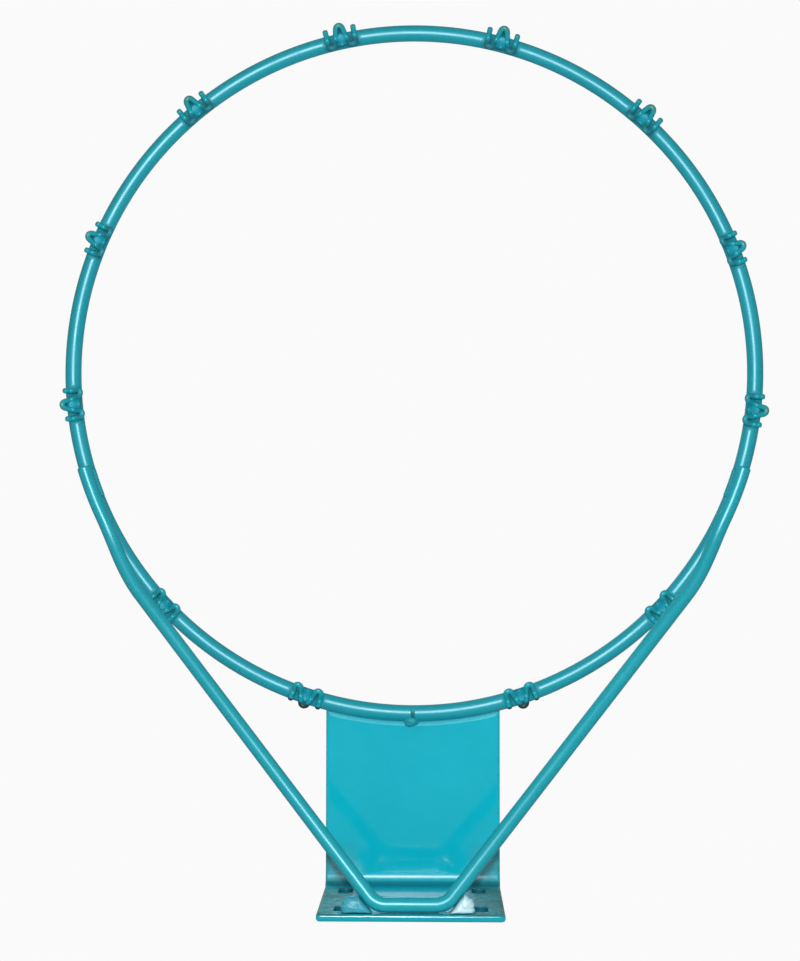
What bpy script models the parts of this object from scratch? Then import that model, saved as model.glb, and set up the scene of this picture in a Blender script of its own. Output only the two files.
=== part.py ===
"""A fixed basketball rim for a poolside hoop: a round-bar ring with wire net hooks, welded under the
neck of a bent mounting plate and propped from below by one bent brace rod.

Metres, +Z up. The origin is the middle of the flat rear face of the mounting plate, which bolts to
the hoop's backboard or pole. +Y points into the backboard, so the ring stands out along -Y.
"""

import math

import bmesh
import bpy
from mathutils import Vector

# The gap that welded pieces keep to each other, so that each stays a solid of its own
SEAT_GAP = 0.0003

# Ring
RING_BORE = 0.4572
RING_BAR = 0.011
BOARD_TO_RING = 0.127
RING_SIDES = 96
BAR_SIDES = 12

# Mounting plate: a neck over the ring and a leg down the backboard, bent from one sheet
PLATE_WIDTH = 0.119
PLATE_THICKNESS = 0.0048
PLATE_DROP = 0.114
PLATE_BEND_RADIUS = 0.007
PLATE_CORNER_RADIUS = 0.003
BOLT_SLOT_WIDTH = 0.0087
BOLT_SLOT_LENGTH = 0.018
BOLT_INSET_SIDE = 0.015
BOLT_INSET_END = 0.0194
CUT_OVERRUN = 0.002

# Brace rod: its ends follow the ring from below, its legs run straight to a foot on the plate
BRACE_BAR = 0.0095
BRACE_FOOT_WIDTH = 0.0444
BRACE_FOOT_MARGIN = 0.0008
BRACE_FOOT_BEND = 0.014
BRACE_SPREAD = 0.0044
BRACE_EASE = 0.030
BRACE_STEP = 0.007
BRACE_LEG_STEP = 0.030

# Net hooks: M-shaped wires, welded across the underside of the ring, their loops bent down
HOOK_WIRE = 0.0037
HOOK_SPAN = 0.0190
HOOK_STUB_REACH = 0.0006
HOOK_NOSE_REACH = 0.0030
HOOK_NOSE_RADIUS = 0.0024
HOOK_EYE_REACH = 0.0031
HOOK_EYE_RADIUS = 0.0021
HOOK_CREST_RADIUS = 0.0036
HOOK_SLANT_SHARES = (0.2, 0.4, 0.6, 0.8)

# Welds
NECK_BEAD = 0.0036
NECK_BEAD_INSET = 0.002
NECK_BEAD_STEPS = 18
BRACE_BEAD = 0.0036
BRACE_BEAD_STEPS = 4
FOOT_WELD_RUN = 0.0145
FOOT_WELD_SPREAD = 0.0150
FOOT_WELD_HEIGHT = 0.0085
FOOT_WELD_EDGE = 0.0008
FOOT_WELD_FILL_SHARE = 0.55
FOOT_WELD_STEPS = 5
SEAM_WELD_LENGTH = 0.0090
SEAM_WELD_WIDTH = 0.0070
SEAM_WELD_HEIGHT = 0.0044
TACK_LENGTH = 0.0056
TACK_WIDTH = 0.0030
TACK_HEIGHT = 0.0030
TACK_SHIFT = 0.0006

# Angles round the ring, in degrees from its front: positive towards +X, 180 at the plate
HOOK_ANGLES = (-12.3, 15.0, 42.4, 69.3, 96.8, 133.8, 161.7, -162.0, -133.5, -95.8, -67.5, -39.8)
BRACE_END_ANGLE = 106.5
BRACE_LIFT_ANGLE = 115.3
BRACE_BEAD_START_ANGLE = 107.3
BRACE_BEAD_END_ANGLE = 111.8
HOOK_DROOP_ANGLE = 47.0
SEAM_WELD_ANGLE = 180.5
SEAM_WELD_TILT = 50.0

# Places that follow from the sizes above
RING_RADIUS = (RING_BORE + RING_BAR) / 2
RING_Y = -(BOARD_TO_RING + RING_BORE / 2)
PLATE_OUTER_BEND = PLATE_BEND_RADIUS + PLATE_THICKNESS
PLATE_FLAT = PLATE_DROP - PLATE_OUTER_BEND
PLATE_BOTTOM = -PLATE_FLAT / 2
PLATE_TOP = PLATE_BOTTOM + PLATE_DROP
RING_Z = PLATE_TOP - PLATE_THICKNESS - SEAT_GAP - RING_BAR / 2
BRACE_FOOT_Z = PLATE_BOTTOM + BRACE_FOOT_MARGIN + BRACE_BAR / 2
BRACE_TOP_Z = -(RING_BAR + BRACE_BAR) / 2 - SEAT_GAP

# Paint, as linear colours: the glossy sheet and bar, and the slightly darker weld metal
PAINT = (0.022, 0.400, 0.520, 1.0)
WELD_PAINT = (0.018, 0.345, 0.440, 1.0)
PAINT_ROUGHNESS = 0.22
WELD_ROUGHNESS = 0.34
SMOOTH_ANGLE = 40.0


def clear_scene():
    for obj in list(bpy.data.objects):
        bpy.data.objects.remove(obj, do_unlink=True)


def painted(name, colour, roughness):
    """A coat of glossy paint over steel."""
    material = bpy.data.materials.new(name)
    material.use_nodes = True
    shader = material.node_tree.nodes["Principled BSDF"]
    shader.inputs["Base Color"].default_value = colour
    shader.inputs["Roughness"].default_value = roughness
    shader.inputs["Metallic"].default_value = 0.0
    material.diffuse_color = colour
    return material


def add_object(name, data, parent=None, weld=False):
    obj = bpy.data.objects.new(name, data)
    bpy.context.collection.objects.link(obj)
    obj.parent = parent
    colour, roughness = (WELD_PAINT, WELD_ROUGHNESS) if weld else (PAINT, PAINT_ROUGHNESS)
    data.materials.clear()
    data.materials.append(painted(name + "_paint", colour, roughness))
    return obj


def add_mesh(name, bm, parent=None, weld=False):
    bmesh.ops.recalc_face_normals(bm, faces=bm.faces)
    mesh = bpy.data.meshes.new(name)
    bm.to_mesh(mesh)
    bm.free()
    mesh.shade_smooth()
    mesh.set_sharp_from_angle(angle=math.radians(SMOOTH_ANGLE))
    return add_object(name, mesh, parent, weld)


def tube_data(name, points, diameter, side_level):
    """A round bar along the points. Side levels 1, 2 and 4 give 6, 8 and 12 sides."""
    curve = bpy.data.curves.new(name, "CURVE")
    curve.dimensions = "3D"
    curve.bevel_depth = diameter / 2
    curve.bevel_resolution = side_level
    curve.use_fill_caps = True
    spline = curve.splines.new("POLY")
    spline.points.add(len(points) - 1)
    for point, place in zip(spline.points, points):
        point.co = (*place, 1.0)
    return curve


def prism(outline, push):
    """The outline's flat face, extruded by the vector push."""
    bm = bmesh.new()
    face = bm.faces.new([bm.verts.new(point) for point in outline])
    pushed = bmesh.ops.extrude_face_region(bm, geom=[face])["geom"]
    corners = [item for item in pushed if isinstance(item, bmesh.types.BMVert)]
    bmesh.ops.translate(bm, vec=push, verts=corners)
    return bm


def ellipsoid(size, segments, rings):
    bm = bmesh.new()
    bmesh.ops.create_uvsphere(bm, u_segments=segments, v_segments=rings, radius=1)
    bmesh.ops.scale(bm, vec=size / 2, verts=bm.verts)
    return bm


def as_cutter(obj):
    obj.hide_render = True
    obj.display_type = "WIRE"
    return obj


def cut(obj, cutter):
    modifier = obj.modifiers.new("cut_by_" + cutter.name, "BOOLEAN")
    modifier.operation = "DIFFERENCE"
    modifier.solver = "EXACT"
    modifier.object = cutter


def arc(centre, radius, start, end, steps):
    """Points (u, v) on an arc, its angles in degrees from +u towards +v."""
    u, v = centre
    turn = [math.radians(start + (end - start) * step / steps) for step in range(steps + 1)]
    return [(u + radius * math.cos(a), v + radius * math.sin(a)) for a in turn]


def on_ring(angle, radius, height):
    """A point of the ring's frame: degrees round from the front, radius from the centre, height."""
    turn = math.radians(angle)
    return Vector((radius * math.sin(turn), -radius * math.cos(turn), height))


def add_torus(name, bar_radius, parent):
    bpy.ops.mesh.primitive_torus_add(
        major_radius=RING_RADIUS,
        minor_radius=bar_radius,
        major_segments=RING_SIDES,
        minor_segments=BAR_SIDES,
    )
    obj = bpy.context.active_object
    mesh = obj.data
    bpy.data.objects.remove(obj, do_unlink=True)
    mesh.shade_smooth()
    return add_object(name, mesh, parent)


def add_ring_centre():
    """An empty at the ring's centre, which carries all that is laid out round the ring."""
    centre = bpy.data.objects.new("ring_centre", None)
    bpy.context.collection.objects.link(centre)
    centre.location = (0, RING_Y, RING_Z)
    return centre


def add_seam_weld(centre):
    """The weld that closes the ring, a low pad on its lower outer side."""
    size = Vector((SEAM_WELD_LENGTH, SEAM_WELD_HEIGHT, SEAM_WELD_WIDTH))
    pad = add_mesh("ring_seam_weld", ellipsoid(size, 14, 8), centre, weld=True)
    tilt = math.radians(SEAM_WELD_TILT)
    pad.location = on_ring(
        SEAM_WELD_ANGLE, RING_RADIUS + RING_BAR / 2 * math.cos(tilt), -RING_BAR / 2 * math.sin(tilt)
    )
    pad.rotation_euler = (-tilt, 0, math.radians(SEAM_WELD_ANGLE - 180))
    cut(pad, as_cutter(add_torus("seam_weld_cutter", RING_BAR / 2 + SEAT_GAP, centre)))


def plate_profile():
    """The plate's side view as (y, z): along the top, round the bend, down the rear face and back."""
    front = RING_Y + math.sqrt(RING_RADIUS**2 - (PLATE_WIDTH / 2) ** 2) - CUT_OVERRUN
    bend = (-PLATE_OUTER_BEND, PLATE_TOP - PLATE_OUTER_BEND)
    outline = [(front, PLATE_TOP)]
    outline += arc(bend, PLATE_OUTER_BEND, 90, 0, 8)
    outline += [(0, PLATE_BOTTOM), (-PLATE_THICKNESS, PLATE_BOTTOM)]
    outline += arc(bend, PLATE_BEND_RADIUS, 0, 90, 8)
    outline += [(front, PLATE_TOP - PLATE_THICKNESS)]
    return outline


def slot_outline(x, z):
    """A bolt slot's upright outline as (x, z), round at both ends."""
    rise = (BOLT_SLOT_LENGTH - BOLT_SLOT_WIDTH) / 2
    upper = arc((x, z + rise), BOLT_SLOT_WIDTH / 2, 0, 180, 6)
    lower = arc((x, z - rise), BOLT_SLOT_WIDTH / 2, 180, 360, 6)
    return upper + lower


def add_plate(centre):
    """The neck and the leg, coped in front to the ring's crown and slotted for four bolts."""
    left = -PLATE_WIDTH / 2
    outline = [(left, y, z) for y, z in plate_profile()]
    bm = prism(outline, (PLATE_WIDTH, 0, 0))
    corners = [
        edge
        for edge in bm.edges
        if all(abs(vert.co.z - PLATE_BOTTOM) < SEAT_GAP for vert in edge.verts)
        and abs(edge.verts[0].co.x - edge.verts[1].co.x) < SEAT_GAP
    ]
    bmesh.ops.bevel(
        bm, geom=corners, offset=PLATE_CORNER_RADIUS, segments=3, profile=0.5, affect="EDGES"
    )
    plate = add_mesh("mount_plate", bm)

    cope = bmesh.new()
    bmesh.ops.create_cone(
        cope,
        cap_ends=True,
        segments=RING_SIDES * 2,
        radius1=RING_RADIUS,
        radius2=RING_RADIUS,
        depth=2 * (RING_BAR + PLATE_THICKNESS + CUT_OVERRUN),
    )
    cut(plate, as_cutter(add_mesh("cope_cutter", cope, centre)))

    across = PLATE_WIDTH / 2 - BOLT_INSET_SIDE
    up = PLATE_FLAT / 2 - BOLT_INSET_END
    for name, x, z in (
        ("upper_left", -across, up),
        ("upper_right", across, up),
        ("lower_left", -across, -up),
        ("lower_right", across, -up),
    ):
        behind = [(u, CUT_OVERRUN, v) for u, v in slot_outline(x, z)]
        depth = PLATE_THICKNESS + 2 * CUT_OVERRUN
        cutter = add_mesh("slot_cutter_" + name, prism(behind, (0, -depth, 0)))
        cut(plate, as_cutter(cutter))


def add_neck_welds(centre):
    """Two beads along the ring: one under the neck, outside the ring, and one on top, before its edge."""
    bead = NECK_BEAD / 2
    reach = RING_BAR / 2 + SEAT_GAP + bead
    half = math.degrees(math.asin((PLATE_WIDTH / 2 - NECK_BEAD_INSET - bead) / RING_RADIUS))
    low = RING_BAR / 2 - bead
    inward = SEAT_GAP + bead
    for name, offset, height in (
        ("neck_weld_under", math.sqrt(reach**2 - low**2), low),
        ("neck_weld_top", -inward, math.sqrt(reach**2 - inward**2)),
    ):
        steps = NECK_BEAD_STEPS
        turns = [180 + half * (2 * step / steps - 1) for step in range(steps + 1)]
        points = [on_ring(turn, RING_RADIUS + offset, height) for turn in turns]
        add_object(name, tube_data(name, points, NECK_BEAD, 2), centre, weld=True)


def brace_plan():
    """The right half of the brace from above, from its end on the ring to the middle of its foot.

    It follows the ring, spreads a little, leaves on a tangent and turns into the foot with a bend.
    Returned with the share of the descent made at each point.
    """
    foot = Vector((BRACE_FOOT_WIDTH / 2, -RING_Y - PLATE_THICKNESS - SEAT_GAP - BRACE_BAR / 2))
    outer = RING_RADIUS + BRACE_SPREAD
    leave = 180 - math.degrees(math.atan2(foot.x, foot.y) + math.acos(outer / foot.length))
    bow = math.radians(leave - BRACE_END_ANGLE) * RING_RADIUS
    steps = math.ceil(bow / BRACE_STEP)
    points = []
    for step in range(steps + 1):
        angle = BRACE_END_ANGLE + (leave - BRACE_END_ANGLE) * step / steps
        share = max(0, (angle - BRACE_LIFT_ANGLE) / (leave - BRACE_LIFT_ANGLE))
        radius = RING_RADIUS + BRACE_SPREAD * share**2 * (3 - 2 * share)
        points.append(on_ring(angle, radius, 0).to_2d())

    along = (foot - points[-1]).normalized()
    turn = math.acos(-along.x)
    tangent = BRACE_FOOT_BEND * math.tan(turn / 2)
    start = foot - along * tangent
    leg = (start - points[-1]).length
    steps = math.ceil(leg / BRACE_LEG_STEP)
    points += [points[-1].lerp(start, step / steps) for step in range(1, steps + 1)]
    hub = Vector((foot.x - tangent, foot.y - BRACE_FOOT_BEND))
    first = math.degrees(math.atan2(start.y - hub.y, start.x - hub.x))
    points += [Vector(point) for point in arc(hub, BRACE_FOOT_BEND, first, 90, 6)[1:]]

    lengths = [0.0]
    for before, after in zip(points, points[1:]):
        lengths.append(lengths[-1] + (after - before).length)
    lift = math.radians(BRACE_LIFT_ANGLE - BRACE_END_ANGLE) * RING_RADIUS
    run = lengths[-1] - lift
    bend_run = 2 * tangent
    shares = [eased((length - lift) / run, BRACE_EASE / run, bend_run / run) for length in lengths]
    return points, shares


def eased(share, ease_in, ease_out):
    """How far down a slope is at a share of its run, when its start and its end are eased."""
    steepness = 1 / (1 - (ease_in + ease_out) / 2)
    if share <= 0:
        return 0.0
    if share < ease_in:
        return steepness * share**2 / (2 * ease_in)
    if share < 1 - ease_out:
        return steepness * (share - ease_in / 2)
    return 1 - steepness * (1 - min(share, 1)) ** 2 / (2 * ease_out)


def add_brace(centre):
    points, shares = brace_plan()
    fall = BRACE_TOP_Z - (BRACE_FOOT_Z - RING_Z)
    right = [Vector((p.x, p.y, BRACE_TOP_Z - fall * s)) for p, s in zip(points, shares)]
    left = [Vector((-p.x, p.y, p.z)) for p in reversed(right)]
    add_object("brace_rod", tube_data("brace_rod", right + left, BRACE_BAR, 4), centre)


def add_brace_welds(centre):
    """A bead in the inner crotch between the ring and each end of the brace."""
    bead = BRACE_BEAD / 2
    to_ring = RING_BAR / 2 + SEAT_GAP + bead
    to_brace = BRACE_BAR / 2 + SEAT_GAP + bead
    apart = -BRACE_TOP_Z
    down = (to_ring**2 - to_brace**2 + apart**2) / (2 * apart)
    inward = math.sqrt(to_ring**2 - down**2)
    step = (BRACE_BEAD_END_ANGLE - BRACE_BEAD_START_ANGLE) / BRACE_BEAD_STEPS
    turns = [BRACE_BEAD_START_ANGLE + step * count for count in range(BRACE_BEAD_STEPS + 1)]
    for name, side in (("brace_weld_left", -1), ("brace_weld_right", 1)):
        points = [on_ring(side * turn, RING_RADIUS - inward, -down) for turn in turns]
        add_object(name, tube_data(name, points, BRACE_BEAD, 2), centre, weld=True)


def add_foot_welds():
    """The welds that fill the wedge between the plate and each leg, beside the brace's foot."""
    points = brace_plan()[0]
    foot = Vector((BRACE_FOOT_WIDTH / 2, SEAT_GAP + BRACE_BAR / 2))
    straight = points[len(points) // 2]
    leg = Vector((straight.x, -RING_Y - PLATE_THICKNESS - straight.y)) - foot
    leg.normalize()
    aside = Vector((leg.y, -leg.x)) * (BRACE_BAR / 2 + SEAT_GAP)
    apex = foot + aside + leg * ((SEAT_GAP - foot.y - aside.y) / leg.y)
    top = apex + leg * FOOT_WELD_RUN
    end = apex + Vector((FOOT_WELD_SPREAD, 0))
    hollow = apex.lerp((top + end) / 2, FOOT_WELD_FILL_SHARE)
    outline = [apex]
    for step in range(FOOT_WELD_STEPS + 1):
        share = step / FOOT_WELD_STEPS
        outline.append(top.lerp(hollow, share).lerp(hollow.lerp(end, share), share))
    low = BRACE_FOOT_Z - FOOT_WELD_HEIGHT / 2
    for name, side in (("foot_weld_left", -1), ("foot_weld_right", 1)):
        flat = [(side * x, -PLATE_THICKNESS - y, low) for x, y in outline]
        weld = add_mesh(name, prism(flat, (0, 0, FOOT_WELD_HEIGHT)), weld=True)
        edge = weld.modifiers.new("soft_edges", "BEVEL")
        edge.width = FOOT_WELD_EDGE
        edge.segments = 2


def hook_outline():
    """Half of the hook's wire as (along the ring, outwards), from its free stub to its nose.

    The wire comes in across the bar, turns back through the eye inside the ring, and crosses
    again to the nose. The slanting run is the tangent between the eye's and the nose's arcs.
    """
    edge = RING_BAR / 2
    eye = Vector(
        (
            HOOK_SPAN / 2 - HOOK_EYE_RADIUS,
            HOOK_EYE_RADIUS + HOOK_WIRE / 2 - edge - HOOK_EYE_REACH,
        )
    )
    nose = Vector((0, edge + HOOK_NOSE_REACH - HOOK_WIRE / 2 - HOOK_NOSE_RADIUS))
    between = nose - eye
    lean = math.asin((HOOK_EYE_RADIUS + HOOK_NOSE_RADIUS) / between.length)
    heading = math.degrees(math.atan2(between.y, between.x) - lean)
    stub = [(HOOK_SPAN / 2, edge + HOOK_STUB_REACH), (HOOK_SPAN / 2, edge / 2)]
    stub += [(HOOK_SPAN / 2, 0), (HOOK_SPAN / 2, -edge / 2)]
    turn = arc(eye, HOOK_EYE_RADIUS, 0, heading + 90 - 360, 6)
    bow = arc(nose, HOOK_NOSE_RADIUS, heading - 90, 90, 3)
    leave = Vector(turn[-1])
    slant = [leave.lerp(Vector(bow[0]), share) for share in HOOK_SLANT_SHARES]
    return stub + turn + slant + bow


def drooped(across):
    """The wire's height at a distance across the bar: a crest under the bar, then straight down.

    The slope on both sides leaves room for the net's cord between the loops and the ring.
    """
    slope = math.radians(HOOK_DROOP_ANGLE)
    crest = -(RING_BAR / 2 + SEAT_GAP + HOOK_WIRE / 2)
    knee = HOOK_CREST_RADIUS * math.sin(slope)
    if abs(across) <= knee:
        return crest - HOOK_CREST_RADIUS + math.sqrt(HOOK_CREST_RADIUS**2 - across**2)
    fall = HOOK_CREST_RADIUS * (1 - math.cos(slope))
    return crest - fall - (abs(across) - knee) * math.tan(slope)


def hook_path():
    half = hook_outline()
    whole = half + [(-along, out) for along, out in reversed(half[:-1])]
    points = []
    for along, out in whole:
        angle = math.degrees(along / RING_RADIUS)
        points.append(on_ring(angle, RING_RADIUS + out, drooped(out)))
    return points


def tack_mesh():
    """The weld nugget between the hook's slanting runs and the bar."""
    bm = ellipsoid(Vector((TACK_WIDTH, TACK_LENGTH, TACK_HEIGHT)), 8, 6)
    below = RING_BAR / 2 + SEAT_GAP + TACK_HEIGHT / 2
    bmesh.ops.translate(bm, vec=(0, TACK_SHIFT - RING_RADIUS, -below), verts=bm.verts)
    return bm


def add_hooks(centre):
    """Twelve hooks round the ring, each with its tack weld."""
    path = hook_path()
    for count, angle in enumerate(HOOK_ANGLES, 1):
        hook_name = f"net_hook_{count:02d}"
        hook = add_object(hook_name, tube_data(hook_name, path, HOOK_WIRE, 2), centre)
        tack = add_mesh(f"hook_tack_{count:02d}", tack_mesh(), centre, weld=True)
        for piece in (hook, tack):
            piece.rotation_euler.z = math.radians(angle)


def main():
    clear_scene()
    centre = add_ring_centre()
    add_torus("rim_ring", RING_BAR / 2, centre)
    add_seam_weld(centre)
    add_plate(centre)
    add_neck_welds(centre)
    add_brace(centre)
    add_brace_welds(centre)
    add_foot_welds()
    add_hooks(centre)


main()
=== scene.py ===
# %% [markdown]
# # Dressing a poolside basketball rim
# The rim is one welded piece of steelwork: a ring of round bar, a bent plate that bolts to the
# backboard, a brace rod underneath and twelve wire hooks for the net, all under one coat of glossy
# teal paint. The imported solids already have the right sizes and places. This lesson gives each of them
# its close-up form, paints them, lights them and looks at them from the photograph's side, from below.

import math

import bmesh
import bpy
import numpy as np
from mathutils import Matrix, Vector


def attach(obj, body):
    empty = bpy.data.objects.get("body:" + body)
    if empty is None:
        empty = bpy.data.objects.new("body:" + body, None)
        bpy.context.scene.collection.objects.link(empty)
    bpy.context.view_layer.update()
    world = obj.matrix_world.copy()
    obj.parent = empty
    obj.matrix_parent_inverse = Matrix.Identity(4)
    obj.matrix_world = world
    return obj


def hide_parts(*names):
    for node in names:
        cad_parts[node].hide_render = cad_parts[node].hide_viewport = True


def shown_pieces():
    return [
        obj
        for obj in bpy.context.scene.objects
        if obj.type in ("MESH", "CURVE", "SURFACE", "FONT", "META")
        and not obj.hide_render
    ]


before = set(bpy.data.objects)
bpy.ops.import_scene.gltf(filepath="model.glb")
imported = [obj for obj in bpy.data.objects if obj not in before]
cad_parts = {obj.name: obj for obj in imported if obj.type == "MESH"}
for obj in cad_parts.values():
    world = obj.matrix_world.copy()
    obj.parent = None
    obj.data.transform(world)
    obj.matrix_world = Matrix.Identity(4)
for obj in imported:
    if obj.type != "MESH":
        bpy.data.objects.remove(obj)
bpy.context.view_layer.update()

# %% [markdown]
# ## The camera
# The photograph looks up at the rim from 1.3 m below, so the ring is a near-perfect circle and the
# plate's leg is seen almost edge-on. A camera could be placed by eye, but the ring, the plate's sides
# and the brace's legs give enough known points to solve for its place, its small tilts and its focal
# length, in millimetres and degrees from the ring's centre. Those numbers are used as they came out.

# %% Camera
IMAGE_WIDTH = 800
IMAGE_HEIGHT = 961
SENSOR_MM = 36.0
FOCAL_PIXELS = 1886.2
CAMERA_TILT = -2.157
CAMERA_TURN = 1.088
CAMERA_ROLL = 0.04
RING_Y = -0.3556
RING_Z = 0.0523
CAMERA_PLACE = (0.0156, RING_Y + 0.1239, RING_Z - 1.2917)


def turn_about(axis, degrees):
    """The 3 by 3 matrix of a turn about one axis of the photograph: x right, y down, z away."""
    return np.array(Matrix.Rotation(math.radians(degrees), 3, axis))


def place_camera():
    """The rows of roll * turn * tilt are the picture's right, down and depth; a camera looks along -Z."""
    right, down, depth = (
        turn_about("Z", CAMERA_ROLL) @ turn_about("Y", CAMERA_TURN) @ turn_about("X", CAMERA_TILT)
    )
    data = bpy.data.cameras.new("photo_camera")
    data.sensor_width = SENSOR_MM
    data.lens = FOCAL_PIXELS / max(IMAGE_WIDTH, IMAGE_HEIGHT) * SENSOR_MM
    data.clip_start = 0.05
    data.clip_end = 200.0
    camera = bpy.data.objects.new("photo_camera", data)
    bpy.context.scene.collection.objects.link(camera)
    axes = np.stack([right, -down, -depth], 1)
    camera.matrix_world = Matrix.LocRotScale(Vector(CAMERA_PLACE), Matrix(axes).to_3x3(), None)
    bpy.context.scene.camera = camera
    return camera


camera = place_camera()
print("camera lens:", round(camera.data.lens, 2), "mm")

# %% [markdown]
# ## Surfaces from arrays
# Every new piece here is a grid of points worked out with numpy, row by row along the piece and column
# by column round it. Modelling tools would do too, but an array keeps the formula in sight and makes
# thousands of points at once. One function turns such a grid into a mesh: it joins the last column to
# the first, and the last row to the first on a closed ring, or closes each end with a fan to one point.

# %% Grid to mesh
MERGE_DISTANCE = 1e-7


def grid_faces(rows, columns, loop_rows, loop_columns):
    """Quads (r, c), (r, c+1), (r+1, c+1), (r+1, c) as indices, with wrap-round where asked."""
    r = np.arange(rows if loop_rows else rows - 1)[:, None]
    c = np.arange(columns if loop_columns else columns - 1)[None, :]
    r_next = (r + 1) % rows
    c_next = (c + 1) % columns
    corners = [r * columns + c, r * columns + c_next, r_next * columns + c_next, r_next * columns + c]
    return np.stack([np.broadcast_to(k, (r.size, c.size)) for k in corners], -1).reshape(-1, 4)


def mesh_from(name, points, faces, tips=()):
    """A mesh of all the points and faces, doubles merged, its faces turned outwards and smooth."""
    mesh = bpy.data.meshes.new(name)
    mesh.from_pydata(points.tolist(), [], faces.tolist() + list(tips))
    work = bmesh.new()
    work.from_mesh(mesh)
    bmesh.ops.remove_doubles(work, verts=work.verts, dist=MERGE_DISTANCE)
    bmesh.ops.recalc_face_normals(work, faces=work.faces)
    work.to_mesh(mesh)
    work.free()
    mesh.shade_smooth()
    return mesh


def tube_mesh(name, grid, loop_rows=False):
    """A grid (rows, columns, 3), closed round its columns; open ends are fanned to their middle."""
    rows, columns = grid.shape[:2]
    points = grid.reshape(-1, 3)
    faces = grid_faces(rows, columns, loop_rows, True)
    tips = []
    if not loop_rows:
        points = np.concatenate([points, grid[[0, -1]].mean(1)])
        rim = np.arange(columns)
        last = (rows - 1) * columns
        for pole, base in ((rows * columns, 0), (rows * columns + 1, last)):
            fan = np.stack([rim + base, (rim + 1) % columns + base, np.full(columns, pole)], 1)
            tips += fan.tolist()
    return mesh_from(name, points, faces, tips)


def add_piece(name, mesh, node):
    """Links the mesh under a new name, in place of a CAD node, and lets it ride on the one body."""
    piece = bpy.data.objects.new(name, mesh)
    bpy.context.scene.collection.objects.link(piece)
    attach(piece, "root")
    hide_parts(node)
    return piece


def add_tube(name, grid, node, loop_rows=False):
    """The grid's tube as a piece of the given name, in place of a CAD node."""
    return add_piece(name, tube_mesh(name, grid, loop_rows), node)


print("grid helpers ready")

# %% [markdown]
# A bar or a wire is a circle carried along a path. The circle has to face along the path at every
# step, or the bar would thin in its bends. None of the paths here ever runs straight up, so the side
# of the circle can be the path's direction crossed with +Z, and its top the side crossed with the
# direction. A sawn end isn't sharp under paint: the last radius of the path shrinks along a quarter
# circle, which rounds the end's edge.

# %% Carry a circle along a path
def directions(path):
    """Unit tangents of a path (n, 3) by central differences."""
    step = np.gradient(path, axis=0)
    return step / np.linalg.norm(step, axis=1, keepdims=True)


def cross_frames(path):
    """For each point of the path, the unit vector to its side and the one to its top."""
    along = directions(path)
    side = np.cross(along, (0.0, 0.0, 1.0))
    side /= np.linalg.norm(side, axis=1, keepdims=True)
    return side, np.cross(side, along)


def swept(path, radius, columns, swell=None):
    """path + radius * (side * cos a + top * sin a), the radius per point and, with swell, per angle."""
    side, top = cross_frames(path)
    angle = np.linspace(0, 2 * np.pi, columns, endpoint=False)
    reach = np.broadcast_to(np.reshape(radius, (-1, 1)), (len(path), columns))
    if swell is not None:
        reach = reach * swell
    ring = side[:, None] * np.cos(angle)[None, :, None] + top[:, None] * np.sin(angle)[None, :, None]
    return path[:, None] + reach[..., None] * ring


def travelled(path):
    """The distance along the path to each of its points."""
    steps = np.linalg.norm(np.diff(path, axis=0), axis=1)
    return np.concatenate([[0.0], np.cumsum(steps)])


def resampled(path, places):
    """The path read at distances along it, each coordinate straight between its points."""
    run = travelled(path)
    return np.stack([np.interp(places, run, path[:, k]) for k in range(3)], 1)


def with_round_ends(path, radius, edge, spacing):
    """The path read at even spacing with fine steps at both ends, and the radius that rounds them."""
    length = travelled(path)[-1]
    turn = np.linspace(0, np.pi / 2, 7)
    near = edge * (1 - np.cos(turn))
    middle = np.linspace(edge, length - edge, max(3, int((length - 2 * edge) / spacing)))
    places = np.concatenate([near, middle[1:-1], length - near[::-1]])
    to_end = np.minimum(places, length - places)
    cut = np.clip(1 - to_end / edge, 0, 1)
    return resampled(path, places), radius - edge * (1 - np.sqrt(1 - cut**2))


print("sweep helpers ready")

# %% [markdown]
# ## The ring
# The ring is a straight round bar rolled to a circle of 18 in inside diameter, its two ends butted and
# welded over the middle of the plate. A plain torus is the obvious stand-in, but the butt joint shows
# from below as a fine groove that breaks the bar's highlight. So the bar's radius is a function of the
# angle round the ring: constant, less a narrow bell-shaped dip at the joint.

# %% Ring
RING_RADIUS = 0.2341
RING_BAR_RADIUS = 0.0055
RING_STEPS = 720
RING_COLUMNS = 56
SEAM_ANGLE = 179.95
SEAM_DEPTH = 0.00055
SEAM_HALF_WIDTH = 0.20
SEAM_FINE_HALF = 1.2


def around(angle, radius, height):
    """Points of the ring's own frame: degrees from its front towards +X, radius and height."""
    turn = np.radians(angle)
    x = radius * np.sin(turn)
    y = RING_Y - radius * np.cos(turn)
    return np.stack(np.broadcast_arrays(x, y, RING_Z + height), -1)


def ring_grid():
    """R + r * cos b outwards and r * sin b up; r dips by a Gaussian at the seam, not on the inner side."""
    even = np.linspace(0, 360, RING_STEPS, endpoint=False)
    fine = SEAM_ANGLE + np.linspace(-SEAM_FINE_HALF, SEAM_FINE_HALF, 41)
    angle = np.concatenate([even[np.abs(even - SEAM_ANGLE) > SEAM_FINE_HALF + 0.1], fine])
    angle.sort()
    section = np.linspace(0, 2 * np.pi, RING_COLUMNS, endpoint=False)
    dip = np.exp(-(((angle[:, None] - SEAM_ANGLE) / SEAM_HALF_WIDTH) ** 2))
    bar = RING_BAR_RADIUS - SEAM_DEPTH * dip * np.clip(2 * np.cos(section) + 1.6, 0, 1)
    return around(angle[:, None], RING_RADIUS + bar * np.cos(section), bar * np.sin(section))


ring = add_tube("ring_bar", ring_grid(), "rim_ring", loop_rows=True)
print("ring:", len(ring.data.polygons), "faces")

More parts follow.
